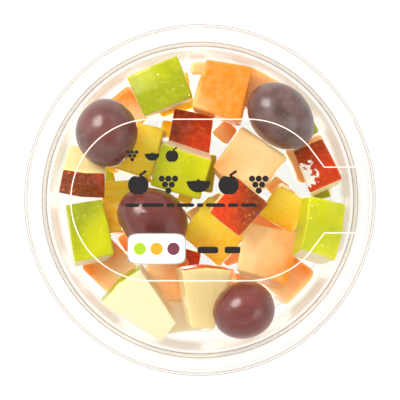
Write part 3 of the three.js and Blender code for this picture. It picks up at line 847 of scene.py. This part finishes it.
def ribbon(plan, width, lift, thickness):
    """A flat band carried along a path in plan: at each point its two edges stand half the width to
    either side, and its upper side lies one thickness above its lower side."""
    along = np.gradient(plan, axis=0)
    along /= np.linalg.norm(along, axis=1)[:, None]
    aside = np.column_stack([-along[:, 1], along[:, 0]]) * width / 2
    corners = [on_lid(plan + aside, lift), on_lid(plan - aside, lift),
               on_lid(plan - aside, lift + thickness), on_lid(plan + aside, lift + thickness)]
    points = np.stack(corners, 1).reshape(-1, 3)
    first = 4 * np.arange(len(plan) - 1)[:, None]
    sides = [np.column_stack([first + k, first + 4 + k, first + 4 + (k + 1) % 4, first + (k + 1) % 4])
             for k in range(4)]
    last = 4 * (len(plan) - 1)
    ends = np.array([[0, 1, 2, 3], [last + 3, last + 2, last + 1, last]])
    return points, np.concatenate([*sides, ends])[:, ::-1]


# %% The label's edge
NECK_HALF = 10.9 * MM  # half the neck's width
NECK_START = 41.3 * MM  # where the shoulders end and the neck begins
NECK_END = 1.5 * MM  # how far before the lid's rim the line stops
SHOULDER = np.radians(42)  # how far up the right round end the shoulders begin
ARC_STEPS = 60
BORDER_POINTS = 900


def arc(centre_x, radius, start, end):
    """Part of a circle in plan."""
    angles = np.linspace(start, end, ARC_STEPS)
    return np.column_stack([centre_x + radius * np.cos(angles), radius * np.sin(angles)])


def border_path():
    """The label's edge in plan, from the rim round the label and back to the rim, with even spacing."""
    low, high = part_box("seal_label")
    radius = high.y - BORDER_WIDTH / 2
    centre = -low.x - high.y
    reach = LINES["lid"][:, 0].max() - NECK_END
    neck = np.array([[reach, NECK_HALF], [NECK_START, NECK_HALF]])
    upper = np.concatenate([neck, arc(centre, radius, SHOULDER, np.pi / 2)])
    left = arc(-centre, radius, np.pi / 2, 3 * np.pi / 2)
    rough = np.concatenate([upper, left, upper[::-1] * [1, -1]])
    length = np.concatenate([[0], np.cumsum(np.linalg.norm(np.diff(rough, axis=0), axis=1))])
    even = np.linspace(0, length[-1], BORDER_POINTS)
    return np.column_stack([np.interp(even, length, rough[:, k]) for k in range(2)])


# %% Printing inks and the edge itself
INK_CODES = {"white": "ffffff", "edge": "f4dfd0", "dark": "262322", "grey": "9c9c9a",
             "green": "9dbb2f", "orange": "ef9a2c", "purple": "6d3b45"}


def ink_material(name, code):
    """Plain printing ink, a little uneven in gloss."""
    material, tree = new_material(name)
    where = add(tree, "ShaderNodeTexCoord").outputs["Object"]
    noise = add(tree, "ShaderNodeTexNoise", {"Vector": where, "Scale": 900.0}).outputs["Fac"]
    shader = add(tree, "ShaderNodeBsdfPrincipled", {
        "Base Color": (*from_screen(code), 1.0), "Roughness": ramp(tree, noise, 0.3, 0.7, 0.45, 0.6),
        "Specular IOR Level": 0.1})
    finish_material(tree, shader.outputs[0])
    return material


INKS = {name: ink_material(f"ink_{name}", code) for name, code in INK_CODES.items()}

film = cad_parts["seal_label"]
film.data.materials.clear()
film.data.materials.append(MATERIALS["clear_film"])
film.visible_shadow = False
points, faces = ribbon(border_path(), BORDER_WIDTH, PRINT_LIFT, PRINT_THICKNESS)
border = new_piece("label_border", points, faces, INKS["edge"], smooth=False)
border.visible_shadow = False
print("label border has", len(faces), "faces")

# %% [markdown]
# ## The label's print
# The label's print is plain and generic: rows of small fruit signs and bars in dark ink, and a white badge
# with three coloured dots. Text objects or a picture could make it too. Each sign here is a set of closed
# outlines given by a short formula in polar form and filled from its middle, so a few small functions draw
# the whole label and the print stays sharp from any distance.

# %% Draw the signs
def blob(centre, radius_of, squash=(1, 1), turn=0.0, steps=64):
    """A closed outline round a centre: at each angle the radius is what radius_of gives."""
    angles = np.linspace(0, 2 * np.pi, steps, endpoint=False)
    radius = radius_of(angles)
    plan = np.column_stack([radius * np.cos(angles) * squash[0], radius * np.sin(angles) * squash[1]])
    spin = np.array([[np.cos(turn), np.sin(turn)], [-np.sin(turn), np.cos(turn)]])
    return plan @ spin + centre


def disc(centre, radius, steps=32):
    """A circle's outline."""
    return blob(centre, lambda angles: radius + 0 * angles, steps=steps)


def rounded_box(centre, half, power=6.0):
    """The superellipse |x/a|^n + |y/b|^n = 1, which is a box with soft corners."""
    def reach(angles):
        across = np.abs(np.cos(angles) / half[0]) ** power
        return (across + np.abs(np.sin(angles) / half[1]) ** power) ** (-1 / power)
    return blob(centre, reach, steps=96)


def apple_sign(x, y, size):
    """Two lobes with dips above and below, a stalk and a leaf."""
    def lobes(angles):
        from_top = np.angle(np.exp(1j * (angles - np.pi / 2)))
        from_bottom = np.angle(np.exp(1j * (angles + np.pi / 2)))
        dips = 0.09 * np.exp(-(from_top / 0.32) ** 2) + 0.05 * np.exp(-(from_bottom / 0.3) ** 2)
        return size * (0.46 - dips)

    def leaf(angles):
        return size * (0.06 + 0.11 * np.cos(angles) ** 2)
    return [blob((x, y), lobes), blob((x + 0.2 * size, y + 0.52 * size), leaf, (1.2, 0.8), 0.6)]


def grape_sign(x, y, size):
    """A bunch: rows of three, two and one discs."""
    gap = 0.3 * size
    rows = [(row, place) for row in range(3) for place in range(3 - row)]
    return [disc((x + gap * (place - (2 - row) / 2), y + 0.28 * size - 0.88 * gap * row), 0.14 * size)
            for row, place in rows]


def melon_sign(x, y, size):
    """A slice: half a disc, flat side up."""
    def half_disc(angles):
        return size * 0.54 * np.where(np.sin(angles) < 0, 1, 0.12)
    return [blob((x, y + 0.2 * size), half_disc, steps=96)]


# %% Print the label
def printed(name, outlines, ink, lift=PRINT_LIFT):
    """Closed outlines filled from their middles, as flat plates of one thickness."""
    all_points, all_faces, start = [], [], 0
    for outline in outlines:
        count = len(outline)
        ring = np.arange(count)
        beside = np.roll(ring, -1)
        plan = np.concatenate([outline, outline.mean(0)[None]])
        all_points += [on_lid(plan, lift), on_lid(plan, lift + PRINT_THICKNESS)]
        top = count + 1
        middle = np.full(count, count)
        all_faces += [np.column_stack([ring, beside, beside + top, ring + top]) + start,
                      np.column_stack([ring + top, beside + top, middle + top, middle + top]) + start,
                      np.column_stack([beside, ring, middle, middle]) + start]
        start += 2 * top
    piece = new_piece(name, np.concatenate(all_points), np.concatenate(all_faces), INKS[ink], smooth=False)
    piece.visible_shadow = False


# rows of signs as [how many, the first sign, its x, spacing, y, size], and bars as [x, half width, y,
# half height], all in mm
SIGN_ROWS = ((5, 0, -20.5, 10.0, 5.0, 7.4), (3, 1, -22.5, 6.6, 14.6, 4.6))
BAR_HALF_WIDTHS = (2.3, 3.6, 1.3, 2.8, 1.0, 3.2, 1.7, 2.6)
BAR_GAP = 0.95
LOWER_BARS = [(2.6, 3.4, -16.6, 1.1), (10.8, 2.6, -16.6, 1.1)]
bars = []
left_end = -24.8
for half_width in BAR_HALF_WIDTHS:
    bars.append((left_end + half_width, half_width, -1.7, 0.62))
    left_end += 2 * half_width + BAR_GAP
signs = [apple_sign, grape_sign, melon_sign]
outlines = []
for count, first, x, spacing, y, size in SIGN_ROWS:
    for number in range(count):
        outlines += signs[(first + number) % 3]((x + spacing * number) * MM, y * MM, size * MM)
for x, half_width, y, half_height in bars + LOWER_BARS:
    outlines.append(rounded_box((x * MM, y * MM), (half_width * MM, half_height * MM)))
printed("label_print", outlines, "dark")

BADGE = np.array([-14.4, -16.2]) * MM
BADGE_HALF = np.array([9.3, 4.8]) * MM
BADGE_EDGE = 0.4 * MM
DOT_RADIUS = 2.1 * MM
DOT_SPACING = 5.6 * MM
LAYER = 0.06 * MM  # how far each colour lies above the one below it
printed("label_badge_edge", [rounded_box(BADGE, BADGE_HALF + BADGE_EDGE)], "grey")
printed("label_badge", [rounded_box(BADGE, BADGE_HALF)], "white", PRINT_LIFT + LAYER)
for place, ink in zip((-1, 0, 1), ("green", "orange", "purple")):
    dot = disc(BADGE + [place * DOT_SPACING, 0], DOT_RADIUS)
    printed(f"label_dot_{ink}", [dot], ink, PRINT_LIFT + 2 * LAYER)
print("label print has", len(outlines), "dark outlines")

# %% [markdown]
# ## Light and camera
# The tub was photographed from straight above on white, with soft light from the upper left that mirrors
# in the grapes. A white world gives the even brightness. It is weaker straight above, as it is round a
# real camera, so dark skins don't turn grey, and a lamp above the camera, kept out of reflections, lights
# the deep gaps instead. One large soft lamp gives the highlights, a weak one some shape, and a disc under
# the tub stands for the lit table. The camera is far away with a long lens, so the rims stay concentric.

# %% Lamps
MIDDLE = Vector((0, 0, 0.03))  # of the tub
# each lamp's place and width in metres, and its watts
LAMPS = {
    "key": ((-0.5, 0.45, 0.7), 0.55, 7.5),
    "top": ((0, 0, 3.4), 1.2, 30.0),
    "under": ((0, 0, -0.05 * MM), 86 * MM, 0.06),
    "fill": ((0.6, -0.3, 0.5), 0.5, 1.0),
}


def soft_lamp(name, place, size, watts):
    """A round lamp that points at the middle of the tub."""
    lamp = bpy.data.lights.new(name, "AREA")
    lamp.shape = "DISK"
    lamp.size = size
    lamp.energy = watts
    carrier = bpy.data.objects.new(name, lamp)
    carrier.location = place
    towards = MIDDLE - carrier.location
    carrier.rotation_euler = towards.to_track_quat("-Z", "Y").to_euler()
    bpy.context.scene.collection.objects.link(carrier)
    return carrier


lamps = {name: soft_lamp(name, *values) for name, values in LAMPS.items()}
lamps["top"].visible_glossy = False
print("lamps:", list(lamps))

# %% World and floor
WORLD_SIDES = 1.05
WORLD_ABOVE = 0.4
ABOVE_SPAN = (0.6, 0.97)  # sines of the angles above the horizon between which the world dims
FLOOR_HALF = 2.0
FLOOR_DEPTH = 0.1 * MM
FLOOR_GLOW = 0.92


def white_world():
    """Even white light from all round, weaker straight above, where the camera stands."""
    world = bpy.data.worlds.new("studio")
    world.use_nodes = True
    tree = world.node_tree
    way = add(tree, "ShaderNodeTexCoord").outputs["Generated"]
    height = add(tree, "ShaderNodeSeparateXYZ", {"Vector": way}).outputs["Z"]
    background = tree.nodes["Background"]
    background.inputs["Color"].default_value = (1, 1, 1, 1)
    strength = ramp(tree, height, *ABOVE_SPAN, WORLD_SIDES, WORLD_ABOVE)
    tree.links.new(strength, background.inputs["Strength"])
    bpy.context.scene.world = world


def pale_floor():
    """A wide plain floor, just below the foot of the tub."""
    material, tree = new_material("floor")
    shader = add(tree, "ShaderNodeBsdfPrincipled", {
        "Base Color": (0.15, 0.15, 0.15, 1), "Roughness": 0.9,
        "Emission Color": (1, 1, 1, 1), "Emission Strength": FLOOR_GLOW})
    finish_material(tree, shader.outputs[0])
    signs_of_corners = ((-1, -1), (1, -1), (1, 1), (-1, 1))
    corners = [(x * FLOOR_HALF, y * FLOOR_HALF, -FLOOR_DEPTH) for x, y in signs_of_corners]
    mesh = bpy.data.meshes.new("floor")
    mesh.from_pydata(corners, [], [(0, 1, 2, 3)])
    mesh.materials.append(material)
    floor = bpy.data.objects.new("floor", mesh)
    bpy.context.scene.collection.objects.link(floor)


white_world()
pale_floor()

# %% Camera
FRAME_WIDTH = 0.1327  # metres that the picture spans at the lid
CAMERA_HEIGHT = 3.0
SENSOR = 36.0  # mm
lens = bpy.data.cameras.new("camera")
lens.sensor_width = SENSOR
lens.lens = SENSOR * (CAMERA_HEIGHT - cad_box[1].z) / FRAME_WIDTH
camera = bpy.data.objects.new("camera", lens)
camera.location = (0, 0, CAMERA_HEIGHT)
bpy.context.scene.collection.objects.link(camera)
bpy.context.scene.camera = camera
bpy.context.scene.view_settings.view_transform = "Standard"
print("lens:", round(lens.lens), "mm")
